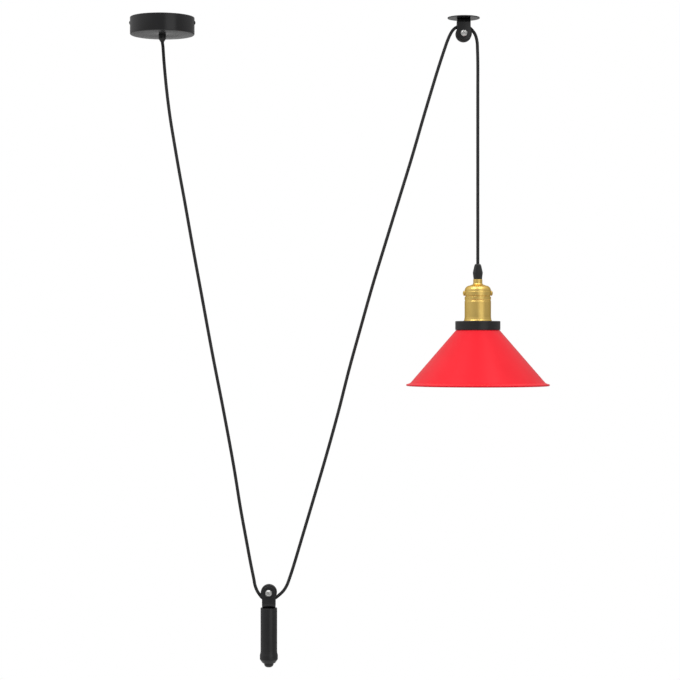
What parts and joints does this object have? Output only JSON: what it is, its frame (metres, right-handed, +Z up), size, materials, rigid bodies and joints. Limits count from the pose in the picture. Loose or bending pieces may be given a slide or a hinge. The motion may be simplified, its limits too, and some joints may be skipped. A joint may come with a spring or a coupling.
{
  "type": "rise and fall pendant lamp",
  "caption": "Pendant lamp on a braided cord that runs over a ceiling pulley and under a counterweight, so that the red cone shade can be pulled down or pushed up.",
  "frame": {"origin": "centre of the ceiling rose, on the ceiling", "axes": "+Z up, +X from the rose towards the lamp, the bolts' heads on the -Y side"},
  "size_m": [0.6529, 0.2226, 1.0088],
  "materials": {
    "black_lacquer": "satin black lacquer",
    "black_plastic": "moulded black plastic",
    "zinc_steel": "zinc plated steel",
    "bright_steel": "bright nickel plate",
    "polished_brass": "polished brass",
    "plain_brass": "plain brass",
    "black_braid": "tight textile braid",
    "core_insulation": "smooth insulation",
    "nylon": "natural nylon",
    "porcelain": "glazed porcelain",
    "red_enamel": "gloss red outside, white inside"
  },
  "bodies": {
    "ceiling": {"rose_bracket": "zinc_steel", "rose_cover": "black_lacquer", "rose_side_screws": "black_lacquer", "rose_cord_grip": "black_plastic", "rose_grip_nut": "zinc_steel", "rose_terminal_block": "nylon", "rose_terminal_clamps": "plain_brass", "rose_terminal_screws": "zinc_steel", "rose_block_screw": "zinc_steel", "rose_cord_tail": "black_braid", "rose_cores": "core_insulation", "pulley_plate": "black_lacquer", "ceiling_fork": "black_lacquer", "ceiling_fork_rivet": "black_lacquer", "ceiling_axle_bolt": "bright_steel", "ceiling_axle_bush": "plain_brass", "ceiling_axle_nut": "zinc_steel", "cord_rose_to_weight": "black_braid", "cord_weight_to_ceiling": "black_braid", "cord_ceiling_to_lamp": "black_braid"},
    "ceiling_sheave": {"ceiling_sheave": "black_plastic"},
    "weight": {"weight_fork": "black_lacquer", "weight_fork_screw": "zinc_steel", "weight_axle_bolt": "bright_steel", "weight_axle_bush": "plain_brass", "weight_axle_nut": "zinc_steel", "weight_barrel": "black_lacquer", "weight_end_knob": "black_lacquer"},
    "weight_sheave": {"weight_sheave": "black_plastic"},
    "lamp": {"lamp_cord_grip": "black_plastic", "lamp_cord_tail": "black_braid", "lamp_cores": "core_insulation", "holder_cap": "polished_brass", "holder_side_screws": "polished_brass", "holder_shell": "polished_brass", "holder_insert": "porcelain", "holder_terminal_screws": "plain_brass", "holder_screw_shell": "plain_brass", "holder_sleeve_screws": "zinc_steel", "holder_centre_contact": "plain_brass", "shade_gallery": "black_plastic", "shade": "red_enamel", "shade_clamp_ring": "black_plastic"}
  },
  "joints": [
    {"name": "lamp_slide", "type": "slide", "parent": "ceiling", "child": "lamp", "axis": [0, 0, 1], "range_m": [-0.7, 0.2], "deforming": ["cord_ceiling_to_lamp"]},
    {"name": "weight_slide", "type": "slide", "parent": "ceiling", "child": "weight", "axis": [0, 0, 1], "range_m": [-0.104, 0.364], "deforming": ["cord_rose_to_weight", "cord_weight_to_ceiling"]},
    {"name": "ceiling_sheave_spin", "type": "hinge", "parent": "ceiling", "child": "ceiling_sheave", "pos_m": [0.468, 0, -0.0253], "axis": [0, 1, 0], "range_deg": [-960, 3360]},
    {"name": "weight_sheave_spin", "type": "hinge", "parent": "weight", "child": "weight_sheave", "pos_m": [0.1655, 0, -0.8927], "axis": [0, 1, 0], "range_deg": [-1750, 500]}
  ],
  "couplings": [
    {"joint": "weight_slide", "follows": "lamp_slide", "ratio": -0.52},
    {"joint": "ceiling_sheave_spin", "follows": "lamp_slide", "rad_per_m": -80.65},
    {"joint": "weight_sheave_spin", "follows": "lamp_slide", "rad_per_m": 41.94}
  ]
}
